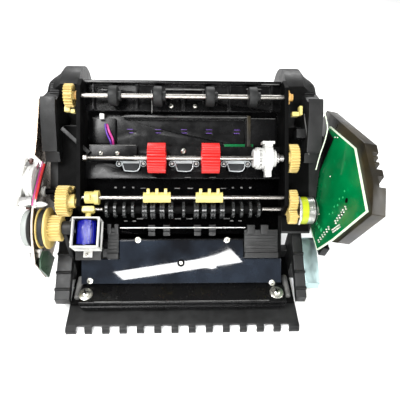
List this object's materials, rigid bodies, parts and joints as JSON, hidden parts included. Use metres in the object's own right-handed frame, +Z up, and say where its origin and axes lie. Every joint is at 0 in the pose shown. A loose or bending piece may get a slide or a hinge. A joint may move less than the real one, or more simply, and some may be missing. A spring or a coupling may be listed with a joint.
{
  "type": "bill validator",
  "caption": "Note transport of a cash machine: ribbed and rubber rollers on cross shafts over sloped guides, with gear drives, a solenoid gate, a control board and a comb inlet.",
  "frame": {"origin": "on the underside of the base tray, midway between the side frames, 43.5 mm behind the tray's front edge", "axes": "+X to the right as seen from the comb inlet, +Y to the back, +Z up"},
  "size_m": [0.3123, 0.2161, 0.1733],
  "materials": {
    "black_plastic": "moulded, satin",
    "textured_black": "moulded, fine spark texture",
    "gloss_black": "polished",
    "black_rubber": "matt",
    "red_rubber": "matt",
    "cream_acetal": "moulded",
    "pale_acetal": "moulded",
    "white_plastic": "moulded",
    "grey_plastic": "moulded",
    "clear_plastic": "clear, polished",
    "shaft_steel": "ground",
    "sheet_steel": "plated sheet",
    "zinc_steel": "zinc plated",
    "board_green": "solder mask",
    "coil_blue": "taped winding",
    "lead_pink": "insulation",
    "lead_red": "insulation"
  },
  "bodies": {
    "chassis": {"base_tray": "textured_black", "left_side_frame": "black_plastic", "right_side_frame": "black_plastic", "left_cheek": "textured_black", "right_cheek": "textured_black", "front_housing": "black_plastic", "comb_guide": "textured_black", "left_rail": "textured_black", "right_rail": "textured_black", "left_washer_screw": "sheet_steel", "right_washer_screw": "sheet_steel", "left_side_plate": "sheet_steel", "sensor_board": "board_green", "main_board": "board_green", "board_housing": "black_plastic", "supply_box": "zinc_steel", "cover_plate": "gloss_black", "left_guide_block": "textured_black", "right_guide_block": "textured_black", "top_guide": "black_plastic", "sensor_panel": "gloss_black", "guide_plate": "black_plastic", "left_lens": "clear_plastic", "centre_lens": "clear_plastic", "right_lens": "clear_plastic", "screw_bracket": "black_plastic", "clutch_strap": "white_plastic", "drive_belt": "black_rubber", "left_motor": "white_plastic", "right_motor": "sheet_steel", "solenoid_frame": "sheet_steel", "solenoid_coil": "coil_blue", "sensor_lead": "lead_pink", "motor_lead": "lead_red"},
    "feed_set": {"feed_shaft": "shaft_steel", "left_feed_roller": "red_rubber", "right_feed_roller": "red_rubber", "feed_clutch": "white_plastic", "feed_gear": "cream_acetal"},
    "top_set": {"top_shaft": "shaft_steel", "left_outer_top_roller": "black_rubber", "left_inner_top_roller": "black_rubber", "right_inner_top_roller": "black_rubber", "right_outer_top_roller": "black_rubber", "top_gear": "cream_acetal"},
    "gate_set": {"gate_shaft": "shaft_steel", "left_gate_fingers": "pale_acetal", "right_gate_fingers": "pale_acetal", "gate_cam": "pale_acetal"},
    "plunger": {"solenoid_plunger": "pale_acetal"},
    "rib_set": {"rib_shaft": "shaft_steel", "rib_roller": "black_rubber", "rib_gear": "cream_acetal"},
    "right_idler": {"right_idler_gear": "cream_acetal"},
    "right_pinion": {"right_motor_pinion": "cream_acetal"},
    "compound_set": {"compound_gear": "cream_acetal", "hand_knob": "grey_plastic"},
    "drive_gear_set": {"drive_gear": "cream_acetal"},
    "left_pinion": {"left_motor_pinion": "cream_acetal"},
    "transfer_set": {"transfer_pulley": "cream_acetal"}
  },
  "joints": [
    {"name": "feed_shaft_spin", "type": "hinge", "parent": "chassis", "child": "feed_set", "pos_m": [0, 0.02758, 0.12233], "axis": [1, 0, 0], "continuous": true},
    {"name": "top_shaft_spin", "type": "hinge", "parent": "chassis", "child": "top_set", "pos_m": [0, 0.06788, 0.16264], "axis": [1, 0, 0], "continuous": true},
    {"name": "gate_swing", "type": "hinge", "parent": "chassis", "child": "gate_set", "pos_m": [0, 0.00177, 0.09652], "axis": [1, 0, 0], "range_deg": [0, 25]},
    {"name": "plunger_slide", "type": "slide", "parent": "chassis", "child": "plunger", "axis": [0, 0.8845, 0.4666], "range_m": [-0.005, 0], "stiffness_N_per_m": 40, "springref_m": 0.004},
    {"name": "rib_shaft_spin", "type": "hinge", "parent": "chassis", "child": "rib_set", "pos_m": [0, 0.00221, 0.08052], "axis": [1, 0, 0], "continuous": true},
    {"name": "right_idler_spin", "type": "hinge", "parent": "chassis", "child": "right_idler", "pos_m": [0, 0, 0.09475], "axis": [1, 0, 0], "continuous": true},
    {"name": "right_pinion_spin", "type": "hinge", "parent": "chassis", "child": "right_pinion", "pos_m": [0, -0.01082, 0.08393], "axis": [1, 0, 0], "continuous": true},
    {"name": "compound_spin", "type": "hinge", "parent": "chassis", "child": "compound_set", "pos_m": [0, -0.01803, 0.07672], "axis": [1, 0, 0], "continuous": true},
    {"name": "drive_gear_spin", "type": "hinge", "parent": "chassis", "child": "drive_gear_set", "pos_m": [0, -0.00053, 0.09422], "axis": [1, 0, 0], "continuous": true},
    {"name": "left_pinion_spin", "type": "hinge", "parent": "chassis", "child": "left_pinion", "pos_m": [0, 0.01686, 0.08956], "axis": [1, 0, 0], "continuous": true},
    {"name": "transfer_spin", "type": "hinge", "parent": "chassis", "child": "transfer_set", "pos_m": [0, 0.0152, 0.04349], "axis": [1, 0, 0], "continuous": true}
  ],
  "couplings": [
    {"joint": "top_shaft_spin", "follows": "feed_shaft_spin", "ratio": 1.2727},
    {"joint": "gate_swing", "follows": "plunger_slide", "rad_per_m": -87.179},
    {"joint": "right_idler_spin", "follows": "rib_shaft_spin", "ratio": -0.6},
    {"joint": "right_pinion_spin", "follows": "rib_shaft_spin", "ratio": 0.85714},
    {"joint": "drive_gear_spin", "follows": "compound_spin", "ratio": -0.83333},
    {"joint": "left_pinion_spin", "follows": "compound_spin", "ratio": 2.5},
    {"joint": "transfer_spin", "follows": "compound_spin", "ratio": 1.9}
  ]
}
